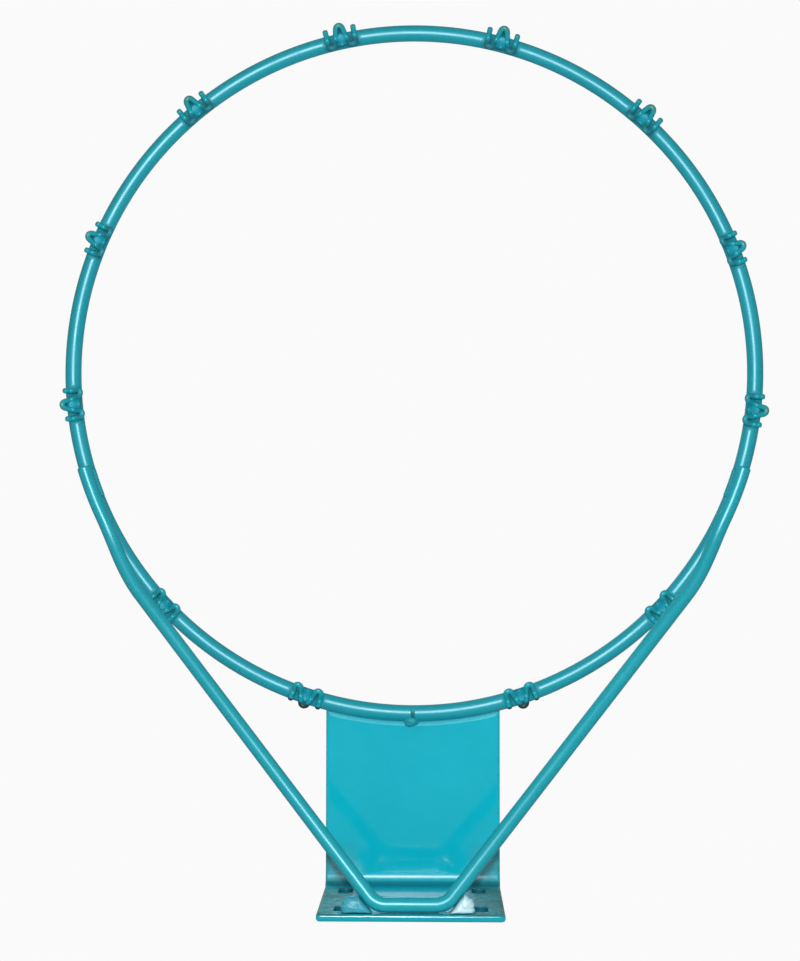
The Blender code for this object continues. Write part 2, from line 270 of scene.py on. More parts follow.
# %% [markdown]
# ## The brace rod
# One round bar makes the brace. From each end it lies under the ring and follows it, spreads a little
# towards the outside, leaves on a tangent and runs straight down to a flat foot on the plate, with a
# bend of one bar and a half at each corner. The plan is worked out first, then the fall is laid over
# it: nothing along the ring, an eased start, an even slope and an eased end in the foot's bend.

# %% Brace rod
SEAT_GAP = 0.0003
PLATE_THICKNESS = 0.0048
PLATE_BOTTOM = -0.0511
BRACE_RADIUS = 0.00475
BRACE_COLUMNS = 48
BRACE_END_ANGLE = 106.5
BRACE_LIFT_ANGLE = 115.3
BRACE_SPREAD = 0.0044
BRACE_EASE = 0.030
BRACE_FOOT_HALF = 0.0222
BRACE_FOOT_BEND = 0.014
BRACE_END_EDGE = 0.0011
BRACE_SPACING = 0.0016
BRACE_TOP = -(RING_BAR_RADIUS + BRACE_RADIUS + SEAT_GAP)
FOOT_RISE = 0.0008
FOOT_Z = PLATE_BOTTOM + FOOT_RISE + BRACE_RADIUS
FOOT_Y = -PLATE_THICKNESS - SEAT_GAP - BRACE_RADIUS


def smooth(share):
    """0 to 1 with level ends: 3 t^2 - 2 t^3."""
    share = np.clip(share, 0, 1)
    return share**2 * (3 - 2 * share)


def eased(share, ease_in, ease_out):
    """An even slope from 0 to 1 whose first and last parts are parabolas that start and end level."""
    steep = 1 / (1 - (ease_in + ease_out) / 2)
    start = steep * np.clip(share, 0, None) ** 2 / (2 * ease_in)
    slope = steep * (share - ease_in / 2)
    end = 1 - steep * (1 - np.clip(share, None, 1)) ** 2 / (2 * ease_out)
    return np.where(share < ease_in, start, np.where(share < 1 - ease_out, slope, end))


def brace_half():
    """The right half of the rod's middle line, from its end on the ring to the middle of the foot."""
    foot = np.array([BRACE_FOOT_HALF, FOOT_Y - RING_Y])
    reach = math.hypot(*foot)
    leave = 180 - math.degrees(math.atan2(*foot) + math.acos((RING_RADIUS + BRACE_SPREAD) / reach))
    angle = np.linspace(BRACE_END_ANGLE, leave, 160)
    radius = RING_RADIUS + BRACE_SPREAD * smooth((angle - BRACE_LIFT_ANGLE) / (leave - BRACE_LIFT_ANGLE))
    bow = np.stack([radius * np.sin(np.radians(angle)), -radius * np.cos(np.radians(angle))], 1)
    along = (foot - bow[-1]) / np.linalg.norm(foot - bow[-1])
    tangent = BRACE_FOOT_BEND * math.tan(math.acos(-along[0]) / 2)
    start = foot - along * tangent
    leg = bow[-1] + (start - bow[-1]) * np.linspace(0, 1, 90)[1:, None]
    hub = foot - (tangent, BRACE_FOOT_BEND)
    first = math.atan2(start[1] - hub[1], start[0] - hub[0])
    turn = np.linspace(first, math.pi / 2, 40)[1:]
    bend = hub + BRACE_FOOT_BEND * np.stack([np.cos(turn), np.sin(turn)], 1)
    plan = np.concatenate([bow, leg, bend, [[0.0, foot[1]]]])
    run = travelled(plan)
    corner = run[-2]
    lift = math.radians(BRACE_LIFT_ANGLE - BRACE_END_ANGLE) * RING_RADIUS
    share = eased((run - lift) / (corner - lift), BRACE_EASE / corner, 2 * tangent / corner)
    height = BRACE_TOP - (BRACE_TOP - (FOOT_Z - RING_Z)) * np.clip(share, 0, 1)
    return np.stack([plan[:, 0], plan[:, 1] + RING_Y, height + RING_Z], 1)


half = brace_half()
rod_line = np.concatenate([half, (half * (-1, 1, 1))[-2::-1]])
rod_path, rod_radius = with_round_ends(rod_line, BRACE_RADIUS, BRACE_END_EDGE, BRACE_SPACING)
brace = add_tube("brace_bar", swept(rod_path, rod_radius, BRACE_COLUMNS), "brace_rod")
print("brace rod:", round(travelled(rod_line)[-1], 3), "m of bar")

# %% [markdown]
# ## The net hooks
# Each hook is a short wire in the shape of an M, laid across the underside of the ring and tacked on.
# From a free stub outside the ring it crosses the bar, turns back through a tight eye inside, crosses
# again on a slant to a rounded nose outside, and returns the same way on the other side. In plan that
# is arcs and tangents. In height it has a crest under the bar and slopes down on both sides, which
# leaves room for the net's cord between the loops and the ring. The wires were bent and cut by hand,
# so each one's nose and stubs have their own reach beyond the bar.

# %% Net hooks
HOOK_ANGLES = (-12.3, 15.0, 42.4, 69.3, 96.8, 133.8, 161.7, -162.0, -133.5, -95.8, -67.5, -39.8)
WIRE_RADIUS = 0.00185
WIRE_COLUMNS = 20
WIRE_END_EDGE = 0.0006
WIRE_SPACING = 0.0006
SLANT_START = 48
HOOK_HALF_SPAN = 0.0095
STUB_REACH = 0.001 * np.array([0.6, 0.5, 0.8, -0.9, -0.8, -0.8, -1.0, -0.8, -0.8, -0.6, -0.6, 0.4])
NOSE_REACH = 0.001 * np.array([3.7, 3.9, 4.0, 2.4, 3.3, 3.0, 2.3, 2.2, 3.0, 2.7, 2.9, 3.8])
NOSE_RADIUS = 0.0024
EYE_REACH = 0.0031
EYE_RADIUS = 0.0021
CREST_RADIUS = 0.0036
DROOP_ANGLE = 47.0


def arc_points(centre, radius, first, last, count):
    """Points on an arc in the plane, its angles in radians."""
    turn = np.linspace(first, last, count)
    return np.stack([centre[0] + radius * np.cos(turn), centre[1] + radius * np.sin(turn)], 1)


def hook_plan(count):
    """Half the wire in plan as (along the ring, outwards from the bar's middle), stub to nose."""
    eye = np.array([HOOK_HALF_SPAN - EYE_RADIUS, EYE_RADIUS + WIRE_RADIUS - RING_BAR_RADIUS - EYE_REACH])
    nose = np.array([0.0, RING_BAR_RADIUS + NOSE_REACH[count] - WIRE_RADIUS - NOSE_RADIUS])
    across = nose - eye
    lean = math.asin((EYE_RADIUS + NOSE_RADIUS) / math.hypot(*across))
    heading = math.atan2(across[1], across[0]) - lean
    stub = np.array([[HOOK_HALF_SPAN, RING_BAR_RADIUS + STUB_REACH[count]], eye + (EYE_RADIUS, 0)])
    turn = arc_points(eye, EYE_RADIUS, 0, heading + math.pi / 2 - 2 * math.pi, 48)
    bow = arc_points(nose, NOSE_RADIUS, heading - math.pi / 2, math.pi / 2, 24)
    return np.concatenate([stub, turn[1:], bow])


def wire_height(across):
    """The wire's height under the bar: a circular crest, then its tangent down on both sides."""
    slope = math.radians(DROOP_ANGLE)
    crest = -(RING_BAR_RADIUS + SEAT_GAP + WIRE_RADIUS)
    knee = CREST_RADIUS * math.sin(slope)
    near = crest - CREST_RADIUS + np.sqrt(np.maximum(CREST_RADIUS**2 - across**2, 0))
    far = crest - CREST_RADIUS * (1 - math.cos(slope)) - (np.abs(across) - knee) * math.tan(slope)
    return np.where(np.abs(across) <= knee, near, far)


def hook_path(count):
    """The whole wire, first in plan at fine even steps, then bent round the ring and under the bar."""
    plan_half = hook_plan(count)
    plan = np.concatenate([plan_half, (plan_half * (-1, 1))[-2::-1]])
    flat = np.column_stack([plan, np.zeros(len(plan))])
    even = resampled(flat, np.linspace(0, travelled(flat)[-1], 400))
    turn = HOOK_ANGLES[count] + np.degrees(even[:, 0] / RING_RADIUS)
    return around(turn, RING_RADIUS + even[:, 1], wire_height(even[:, 1]))


hooks = []
for count in range(len(HOOK_ANGLES)):
    path, radius = with_round_ends(hook_path(count), WIRE_RADIUS, WIRE_END_EDGE, WIRE_SPACING)
    wire = swept(path, radius, WIRE_COLUMNS)
    hooks.append(add_tube(f"hook_wire_{count + 1:02d}", wire, f"net_hook_{count + 1:02d}"))
print("hooks:", len(hooks), "of", len(hooks[0].data.polygons), "faces")

# %% [markdown]
# ## The mounting plate
# The plate is cut from 4.8 mm sheet, punched with four upright slots and bent once to an L. It could be
# a box with bevels, but then the slots, the bend and the curved front edge would need cutters. Here it
# is laid out flat instead, as a sheet metal worker would: (x, s) over the sheet and a depth n through
# it. Nested outlines round the cut edges, rings of points round the slots, and one last formula bends
# the finished flat sheet round its corner.

# %% Plate: the flat outline
PLATE_HALF = 0.0595
PLATE_TOP = 0.0629
BEND_OUTER = 0.0118
CORNER_RADIUS = 0.003
EDGE_ROUND = 0.0018
EDGE_SUPPORT = 0.0005
SLOT_X = 0.0445
SLOT_Z = 0.0317
SLOT_HALF_WIDTH = 0.00435
SLOT_HALF_RISE = 0.00465
SLOT_CELL = (0.008, 0.013)
SLOT_LIP = 0.0005
BEND_LENGTH = BEND_OUTER * math.pi / 2
LEG_START = PLATE_TOP - BEND_OUTER
LEG_LENGTH = LEG_START - PLATE_BOTTOM
BEND_SWELL = 0.0005
BEND_SWELL_REACH = 0.004


def stops(places, counts):
    """Places joined into one row of numbers, each stretch cut into its own count of even steps."""
    parts = [np.linspace(a, b, n + 1)[:-1] for a, b, n in zip(places, places[1:], counts)]
    return np.concatenate([*parts, [places[-1]]])


def column_lines():
    """x of the sheet's columns, with lines on both sides of each slot's cell."""
    out = SLOT_X + SLOT_CELL[0]
    near = SLOT_X - SLOT_CELL[0]
    right = stops([0.0, near, out, PLATE_HALF], [18, 12, 4])
    return np.concatenate([-right[:0:-1], right])


def leg_lines():
    """s of the rows down the leg, from the bend to where the bottom corners begin."""
    at = [LEG_START - (z + d) for z in (SLOT_Z, -SLOT_Z) for d in (SLOT_CELL[1], -SLOT_CELL[1])]
    return stops([0.0, 0.001, *at, LEG_LENGTH - CORNER_RADIUS], [1, 4, 18, 20, 18, 3])


def corner_lines():
    """The angles of the rows through the rounded bottom corners, from the sides to the bottom edge."""
    return np.linspace(0, np.pi / 2, 10)[1:]


def flat_sheet(inset):
    """The grid (rows, columns, 2) of (x, s) over the sheet, drawn in by inset all round.

    The first row is the front edge, an arc of the ring's radius, and the neck's rows ease from it to
    straight. In the bottom corners the half width and s follow a quarter circle of the same centre.
    """
    share = column_lines() / PLATE_HALF
    front = RING_Y + np.sqrt(RING_RADIUS**2 - (share * PLATE_HALF) ** 2) + BEND_OUTER + inset
    neck = front[None, :] * (1 - stops([0.0, 0.01, 0.99, 1.0], [1, 44, 1])[:-1, None])
    bend = np.linspace(0, BEND_LENGTH, 33)[:-1]
    leg = BEND_LENGTH + leg_lines()
    psi = corner_lines()
    corner_s = BEND_LENGTH + LEG_LENGTH - CORNER_RADIUS + (CORNER_RADIUS - inset) * np.sin(psi)
    s = np.concatenate([bend, leg, corner_s])
    rows = np.concatenate([neck, np.repeat(s[:, None], len(share), 1)])
    corner_half = PLATE_HALF - CORNER_RADIUS + (CORNER_RADIUS - inset) * np.cos(psi)
    half_width = np.concatenate([np.full(len(rows) - len(psi), PLATE_HALF - inset), corner_half])
    return np.stack([half_width[:, None] * share, rows], -1)


print("sheet rows and columns:", flat_sheet(0.0).shape[:2])

# %% [markdown]
# The sheet's skin is sewn from strips. The two faces are the same grid at depth 0 and at full depth,
# with a window left out round each slot. A sleeve of nested outlines wraps the cut edge, rounded where
# the paint pulls over it, and a smaller sleeve fills each window and lines its slot. Every strip uses
# the very points of its neighbour along the shared border, so merging doubles closes the skin.

# %% Plate: cut edges and slots
def edge_steps(lip, support):
    """(inset from the cut edge, depth) down a cut edge: level, a quarter circle, and the wall's half."""
    a = np.linspace(0, np.pi / 2, 6)
    inset = np.concatenate([[lip + support], lip * (1 - np.sin(a))])
    depth = np.concatenate([[0.0], lip * (1 - np.cos(a))])
    return (
        np.concatenate([inset, inset[::-1]]),
        np.concatenate([depth, PLATE_THICKNESS - depth[::-1]]),
    )


def border(grid):
    """The grid's outer points in one loop."""
    return np.concatenate([grid[0], grid[1:, -1], grid[-1, -2::-1], grid[-2:0:-1, 0]])


def with_depth(flat, depth):
    """Points (x, s) with their depth in the sheet as a third number."""
    return np.concatenate([flat, np.broadcast_to(depth, flat.shape[:-1])[..., None]], -1)


def nearest(row, value):
    """The index of the number in the row that comes closest to the value."""
    return int(np.abs(row - value).argmin())


def slot_sleeve(window, x, s):
    """From the window's loop, in three steps to the slot, over its lip, through it and back.

    A point of the slot's outline is its own nearest point on the slot's middle line, plus half the
    width in the direction of the loop's point.
    """
    away = window - (x, s)
    core = np.stack([np.zeros(len(away)), np.clip(away[:, 1], -SLOT_HALF_RISE, SLOT_HALF_RISE)], 1)
    aim = away - core
    aim /= np.linalg.norm(aim, axis=1, keepdims=True)
    inset, depth = edge_steps(SLOT_LIP, EDGE_SUPPORT)
    rings = core + (SLOT_HALF_WIDTH + inset[:, None, None]) * aim + (x, s)
    spread = np.array([0.0, 0.4, 0.75])[:, None, None]
    apron = window + (rings[0] - window) * spread
    flat = np.concatenate([apron, rings, apron[::-1]])
    level = np.concatenate([np.zeros(3), depth, np.full(3, PLATE_THICKNESS)])
    return with_depth(flat, level[:, None])


print("edges and sleeves ready")

# %% [markdown]
# A bent sheet keeps its length along the outer face of the corner in this layout, so s runs round an
# arc of the outer radius, and each depth n turns about the same middle on a smaller one. Bending the
# finished grid this way leaves the slots, the sides and the two faces sewn as they were.

# %% Plate: bend and sew
def bent(flat):
    """(x, s, n) of the flat sheet, bent: straight, then round the corner's middle, then straight down.

    Bending squeezes the inside of the corner, which swells a little past both sides of the sheet.
    """
    x, s, n = np.moveaxis(flat, -1, 0)
    turn = np.clip(s / BEND_OUTER, 0, np.pi / 2)
    y = -BEND_OUTER + np.minimum(s, 0) + (BEND_OUTER - n) * np.sin(turn)
    z = LEG_START + (BEND_OUTER - n) * np.cos(turn) - np.maximum(s - BEND_LENGTH, 0)
    in_bend = np.exp(-(((s - BEND_LENGTH / 2) / (0.4 * BEND_LENGTH)) ** 2))
    at_side = np.exp(-(PLATE_HALF - np.abs(x)) / BEND_SWELL_REACH)
    swell = BEND_SWELL * (n / PLATE_THICKNESS - 0.5) * in_bend * at_side
    return np.stack([x + np.sign(x) * swell, y, z], -1)


def plate_mesh():
    """Both faces without the windows, the sleeves of the slots and the cut edge, bent and sewn."""
    face = flat_sheet(EDGE_ROUND + EDGE_SUPPORT)
    rows, columns = face.shape[:2]
    quads = grid_faces(rows, columns, False, False).reshape(rows - 1, columns - 1, 4)
    keep = np.ones((rows - 1, columns - 1), bool)
    strips = []
    lines_x = face[rows // 2, :, 0]
    lines_s = face[:, columns // 2, 1]
    for x in (-SLOT_X, SLOT_X):
        for z in (SLOT_Z, -SLOT_Z):
            s = BEND_LENGTH + LEG_START - z
            left, right = (nearest(lines_x, x + d) for d in (-SLOT_CELL[0], SLOT_CELL[0]))
            high, low = (nearest(lines_s, s + d) for d in (-SLOT_CELL[1], SLOT_CELL[1]))
            keep[high:low, left:right] = False
            strips.append(slot_sleeve(border(face[high : low + 1, left : right + 1]), x, s))
    insets, depths = edge_steps(EDGE_ROUND, EDGE_SUPPORT)
    rims = np.stack([border(flat_sheet(inset)) for inset in insets])
    strips.append(with_depth(rims, depths[:, None]))
    points = [with_depth(face, level).reshape(-1, 3) for level in (0.0, PLATE_THICKNESS)]
    faces = [quads[keep], quads[keep] + rows * columns]
    count = 2 * rows * columns
    for strip in strips:
        points.append(strip.reshape(-1, 3))
        faces.append(grid_faces(*strip.shape[:2], False, True) + count)
        count += len(points[-1])
    return mesh_from("mounting_plate", bent(np.concatenate(points)), np.concatenate(faces))


def drop_loose(mesh):
    """Deletes the grid points left over inside the windows."""
    work = bmesh.new()
    work.from_mesh(mesh)
    bmesh.ops.delete(work, geom=[v for v in work.verts if not v.link_faces], context="VERTS")
    work.to_mesh(mesh)
    work.free()
    return mesh


plate = add_piece("mounting_plate", drop_loose(plate_mesh()), "mount_plate")
print("plate:", len(plate.data.polygons), "faces")

# %% [markdown]
# ## Welds
# Weld metal is what tells hand-made steelwork from a casting. A fillet fills the corner between two
# parts: its section is a small triangle with a hollow face, and its surface carries the faint ripples
# of the travelling arc. A sweep of that section along the ring gives the two welds of the neck. Here the
# fillets reach a little into both parts, because weld metal is fused to them.

# %% Neck welds
NECK_HALF_ANGLE = 14.0
FILLET_TAPER = 0.9
FILLET_STEPS = 560
FILLET_FACE_STEPS = 20
RIPPLE_PITCH = 0.42
RIPPLE_DEPTH = 0.00007


def straight(first, last, count):
    """Points on a straight line, both ends included."""
    return first + (last - first) * np.linspace(0, 1, count)[:, None]


def curved(first, pull, last, count):
    """Points on a curve that leaves its first point towards pull and reaches its last one from there."""
    t = np.linspace(0, 1, count)[:, None]
    return (1 - t) ** 2 * first + 2 * t * (1 - t) * pull + t**2 * last


def fillet_section(heel, toe_a, toe_b, pull, count):
    """A closed section (out, up): heel to toe A, a face curved towards pull, and from toe B back."""
    toe_a, toe_b, pull, heel = (np.array(p) for p in (toe_a, toe_b, pull, heel))
    face = curved(toe_a, pull, toe_b, count)
    return np.concatenate([face, straight(toe_b, heel, 6)[1:], straight(heel, toe_a, 6)[1:-1]])


def neck_fillet(heel, toe_a, toe_b, pull):
    """The section carried round the ring over the neck, swelling with each ripple, small at its ends."""
    section = fillet_section(heel, toe_a, toe_b, pull, FILLET_FACE_STEPS)
    angle = 180 + np.linspace(-NECK_HALF_ANGLE, NECK_HALF_ANGLE, FILLET_STEPS)
    to_end = (NECK_HALF_ANGLE - np.abs(angle - 180)) / FILLET_TAPER
    taper = np.sqrt(1 - (1 - np.clip(to_end, 0.02, 1)) ** 2)
    phase = np.pi * (angle - 180) / RIPPLE_PITCH
    ripple = RIPPLE_DEPTH * (np.abs(np.sin(phase)) + 0.6 * np.sin(phase * 0.23 + 1.0))
    away = section - np.array(heel)
    distance = np.linalg.norm(away, axis=1)
    grown = 1 + ripple[:, None] / distance.max()
    offset = np.array(heel) + away[None] * (taper[:, None] * grown)[..., None]
    return around(angle[:, None], RING_RADIUS + offset[..., 0], offset[..., 1])


under = neck_fillet((3.4e-3, 5.4e-3), (9.6e-3, 5.95e-3), (5.2e-3, 1.2e-3), (6.3e-3, 5.2e-3))
above = neck_fillet((0.4e-3, 5.5e-3), (0.3e-3, 9.4e-3), (-4.2e-3, 3.2e-3), (-3.2e-3, 7.6e-3))
neck_fillets = [
    add_tube("neck_fillet_under", under, "neck_weld_under"),
    add_tube("neck_fillet_above", above, "neck_weld_top"),
]
print("neck fillets:", [len(piece.data.polygons) for piece in neck_fillets])

# %% [markdown]
# The short runs beside the brace's ends are round beads laid into the crotch of the two bars. A hollow
# fillet would hardly show in so tight a place, so a circle is carried along the run, and its radius
# swells at every ripple, which gives the stacked look of a bead.

# %% Brace end beads
BEAD_RADIUS = 0.0017
BEAD_START_ANGLE = 107.0
BEAD_END_ANGLE = 112.2
BEAD_RIPPLES = 11
BEAD_SEAT = 0.0018
BEAD_END_EDGE = 0.0016
BEAD_SPACING = 0.0001
BEAD_SWELL = 0.07


def brace_bead(side):
    """A circle on the line where it touches both bars, its radius swelling with every ripple."""
    to_ring = RING_BAR_RADIUS + SEAT_GAP + BEAD_SEAT
    to_brace = BRACE_RADIUS + SEAT_GAP + BEAD_SEAT
    apart = -BRACE_TOP
    down = (to_ring**2 - to_brace**2 + apart**2) / (2 * apart)
    inward = math.sqrt(to_ring**2 - down**2)
    angle = side * np.linspace(BEAD_START_ANGLE, BEAD_END_ANGLE, 220)
    path = around(angle, RING_RADIUS - inward, np.full(len(angle), -down))
    path, radius = with_round_ends(path, BEAD_RADIUS, BEAD_END_EDGE, BEAD_SPACING)
    share = travelled(path) / travelled(path)[-1]
    wave = np.abs(np.sin(np.pi * BEAD_RIPPLES * share)) - 0.5
    return swept(path, radius * (1 + BEAD_SWELL * wave), 28)


for label, side in (("left", -1), ("right", 1)):
    add_tube(f"brace_bead_{label}", brace_bead(side), f"brace_weld_{label}")
print("brace beads made")

# %% [markdown]
# The foot of the brace is held by two short, heavy welds that fill the wedge between each leg and the
# plate. A fillet as on the neck would be too thin here. Weld metal that is laid in one blob stands up
# like a cushion: its outline in plan is the wedge with an outer side that bulges, and it rounds over
# towards its top and bottom.

# %% Foot welds
FOOT_WELD_RUN = {"left": 0.0135, "right": 0.0150}
FOOT_WELD_SPREAD = {"left": 0.0180, "right": 0.0155}
FOOT_WELD_FILL = {"left": 1.8125, "right": 1.375}
FOOT_WELD_MIDDLE = 0.3
FOOT_WELD_HALF_HEIGHT = 0.0052
LEG_ROWS = (200, 235)


def ball_angles(rows, columns):
    """v from pole to pole without the poles as a column, and u once round as a row."""
    v = np.linspace(-np.pi / 2, np.pi / 2, rows)[1:-1, None]
    return v, np.linspace(0, 2 * np.pi, columns, endpoint=False)[None, :]


def wedge_outline(label):
    """The wedge in plan from its apex: up the leg, round the outer side and back along the plate.

    The fill says how far the outer side is pulled from the apex: at 1 it is straight, above 1 it bulges.
    """
    leg_from, leg_to = (rod_line[row, :2] for row in LEG_ROWS)
    along = (leg_from - leg_to) / np.linalg.norm(leg_from - leg_to)
    along = np.array([abs(along[0]), -abs(along[1])])
    foot = np.array([BRACE_FOOT_HALF, FOOT_Y])
    aside = np.array([-along[1], along[0]]) * BRACE_RADIUS
    start = foot + aside
    apex = start + along * ((-PLATE_THICKNESS - start[1]) / along[1])
    top = apex + along * FOOT_WELD_RUN[label]
    end = apex + (FOOT_WELD_SPREAD[label], 0)
    pull = apex + ((top + end) / 2 - apex) * FOOT_WELD_FILL[label]
    parts = [straight(apex, top, 24)[:-1], curved(top, pull, end, 60), straight(end, apex, 24)[1:-1]]
    return np.concatenate(parts), apex + (top - apex + end - apex) * FOOT_WELD_MIDDLE


def foot_weld(label, side, twist):
    """middle + (outline - middle) * cos(v)^0.6 in plan, half height * sin v up, with slow lumps."""
    outline, middle = wedge_outline(label)
    v, u = ball_angles(42, len(outline))
    lump = 1.03 + 0.05 * np.sin(3 * u + twist) * np.cos(2 * v + twist) + 0.03 * np.sin(7 * u - 2 * twist)
    spread = (np.cos(v) ** 0.6 * lump)[..., None]
    plan = middle + (outline - middle) * spread
    height = FOOT_Z + FOOT_WELD_HALF_HEIGHT * np.sin(v) * (1 + 0.06 * np.sin(2 * u + twist))
    return np.stack([side * plan[..., 0], plan[..., 1], height], -1)


for label, side, twist in (("left", -1, 0.4), ("right", 1, 2.3)):
    add_tube(f"foot_fillet_{label}", foot_weld(label, side, twist), f"foot_weld_{label}")
print("foot welds made")

# %% [markdown]
# The ring's butt joint has a pad of weld on its outer lower side. It was laid in one dab, so a flattened
# ball will do, whose radius gets a few slow waves, because weld metal never comes out even.

# %% Seam pad
SEAM_PAD = (0.0092, 0.0072, 0.0064)
SEAM_PAD_ANGLE = 180.25
SEAM_TILT = 22.0


def nugget(size, twist, rows, columns):
    """Half sizes * (cos v cos u, cos v sin u, sin v), times 1 plus three slow waves."""
    v, u = ball_angles(rows, columns)
    wave = 0.07 * np.sin(2 * u + twist) * np.cos(v) + 0.05 * np.sin(3 * u - 2 * twist + 4 * v)
    radius = 1 + wave + 0.04 * np.sin(5 * v + twist)
    ball = [np.cos(v) * np.cos(u), np.cos(v) * np.sin(u), np.sin(v) * np.ones_like(u)]
    return np.stack([length / 2 * radius * part for length, part in zip(size, ball)], -1)


def on_bar(local, angle):
    """Local (along, outwards, up) from the bar's middle, placed at an angle round the ring."""
    turn = angle + np.degrees(local[..., 0] / RING_RADIUS)
    return around(turn, RING_RADIUS + local[..., 1], local[..., 2])


def seam_pad():
    """The nugget turned by the tilt about the bar's line, on the bar's outer lower side."""
    local = nugget(SEAM_PAD, 1.1, 36, 48)
    cos, sin = math.cos(math.radians(SEAM_TILT)), math.sin(math.radians(SEAM_TILT))
    out = cos * (RING_BAR_RADIUS + local[..., 1]) + sin * local[..., 2]
    up = -sin * (RING_BAR_RADIUS + local[..., 1]) + cos * local[..., 2]
    return on_bar(np.stack([local[..., 0], out, up], -1), SEAM_PAD_ANGLE)


add_tube("seam_pad", seam_pad(), "ring_seam_weld")
print("seam pad made")

# %% [markdown]
# Each hook is held by one broad weld that fills the space between its two slanting runs. A ball would
# leave gaps there, so its outline in plan follows the wire's middle line. Its height follows the wire
# too, and it is thickest in the middle, where it reaches up to the bar.

# %% Hook tacks
TACK_MIDDLE = -0.0010
TACK_INNER = -0.0061
TACK_INSET = 0.0003
TACK_UNDER = 0.0014
TACK_NOSE = 0.0012
TACK_LEVEL_SHARE = 0.75
TACK_LEVEL_HALF = 0.0035
TACK_FRONT_BOW = 0.0006
TACK_OVER_NOSE = 0.0026
TACK_FADE = 0.004
TACK_INTO_BAR = 0.0004


def tack(count):
    """middle + (outline - middle) * cos(v)^0.45 in plan; from the wire's height down and up by sin v.

    In the middle it stays level where the wires slope. Above, it fills up to the bar's own surface on
    the inner side, and only a little on the nose's side.
    """
    twist = 0.9 * (count + 1)
    leave, bow = hook_plan(count)[SLANT_START], hook_plan(count)[SLANT_START + 1 :]
    start = leave + (bow[0] - leave) * (TACK_INNER - leave[1]) / (bow[0, 1] - leave[1])
    side = np.concatenate([[start], bow])
    side[:, 0] = np.maximum(side[:, 0] - TACK_INSET, 0)
    low = np.linspace(start * (-1, 1), start, 22)[:-1]
    low[:, 1] += TACK_FRONT_BOW * np.cos(np.pi * low[:, 0] / (2 * start[0]))
    loop = np.concatenate([low, side, (side * (-1, 1))[-2::-1]])
    loop = np.column_stack([loop, np.zeros(len(loop))])
    outline = resampled(loop, np.linspace(0, travelled(loop)[-1], 97)[:-1])[:, :2]
    middle = np.array([0, TACK_MIDDLE])
    v, u = ball_angles(36, len(outline))
    lump = 1 + 0.03 * np.sin(2 * u + twist) + 0.02 * np.sin(5 * u - 2 * twist + 3 * v)
    flat = middle + (outline - middle) * (np.cos(v) ** 0.45 * lump)[..., None]
    across = flat[..., 1]
    level = TACK_LEVEL_SHARE * np.exp(-((flat[..., 0] / TACK_LEVEL_HALF) ** 2))
    middle_height = wire_height(across) * (1 - level) + wire_height(0 * across) * level
    bar = -np.sqrt(np.maximum(RING_BAR_RADIUS**2 - across**2, 0.0015**2)) + TACK_INTO_BAR
    over = np.where(across < 0, bar - middle_height, np.minimum(bar - middle_height, TACK_OVER_NOSE))
    fade = smooth(across / TACK_FADE)
    over = over * (1 - fade) + TACK_NOSE * fade
    depth = np.where(np.sin(v) < 0, TACK_UNDER * lump, over)
    return np.concatenate([flat, (middle_height + depth * np.sin(v))[..., None]], -1)


for count, angle in enumerate(HOOK_ANGLES):
    add_tube(f"tack_{count + 1:02d}", on_bar(tack(count), angle), f"hook_tack_{count + 1:02d}")
print(len(HOOK_ANGLES), "tacks made")

# %% [markdown]
# ## Paint
# The whole rim was powder coated after welding. Such a coat has three looks at once: a deep, even teal,
# a tinted sheen from the fine metal flake in it, and a skin that isn't quite flat, the orange peel that
# makes a highlight's edge tremble. The colour, metallic and roughness sockets and a bump carry that. To
# keep the recipe readable, a small class wraps a socket, so that arithmetic on it adds Math nodes.

# %% Node arithmetic
class Wire:
    """One output in a material. Arithmetic on it adds Math nodes, and node() adds any other node."""

    def __init__(self, tree, socket=None):
        self.tree = tree
        self.socket = socket

    def node(self, kind, settings=None, inputs=None, output=0):
        """Adds a node: first its settings, then a value or a wire for each input; gives one output."""
        made = self.tree.nodes.new(kind)
        for name, value in (settings or {}).items():
            setattr(made, name, value)
        for name, value in (inputs or {}).items():
            if isinstance(value, Wire):
                self.tree.links.new(value.socket, made.inputs[name])
            else:
                made.inputs[name].default_value = value
        return Wire(self.tree, made.outputs[output])

    def math(self, operation, first, second=0.0, clamp=False):
        """One Math node on two values or wires."""
        settings = {"operation": operation, "use_clamp": clamp}
        return self.node("ShaderNodeMath", settings, {0: first, 1: second})

    def __add__(self, other):
        return self.math("ADD", self, other)

    def __mul__(self, other):
        return self.math("MULTIPLY", self, other)

    def __sub__(self, other):
        return self.math("SUBTRACT", self, other)

    def __rsub__(self, other):
        return self.math("SUBTRACT", other, self)

    __radd__ = __add__
    __rmul__ = __mul__


def ramp(value, low, high):
    """0 where the value is low, 1 where it is high, straight between them and level beyond."""
    return (value - low).math("MULTIPLY", value - low, 1 / (high - low), clamp=True)


def blend_colours(wire, share, first, second):
    """first where share is 0, second where it is 1."""
    mix = {0: share, 6: first, 7: second}
    return wire.node("ShaderNodeMix", {"data_type": "RGBA"}, mix, output=2)


print("node arithmetic ready")

# %% [markdown]
# ## Painted shade
# These marks are painted shade: darker crevices, darker patches over both sides of the leg and under the
# neck's rear corners where the brace's legs cast shadow, dark slots, a contact shadow in the bend and under
# the brace's foot, shadows beside the hooks and in their eyes, and darker, duller noses on the hooks. The
# ring's joint is painted dark as well. Each mark is a mask, a product of ramps over the region that it
# covers, in metres and degrees of the rim's own frame. A mask made of ramps follows the shape of a piece
# exactly, which a painted texture could only do by eye.

# %% Painted shade on the plate
def box_mask(wire, u, v, half_u, half_v, soft):
    """1 inside a rectangle round the origin of (u, v), 0 outside, over a soft edge."""
    across = ramp(wire.math("ABSOLUTE", u), half_u + soft, half_u - soft)
    return across * ramp(wire.math("ABSOLUTE", v), half_v + soft, half_v - soft)


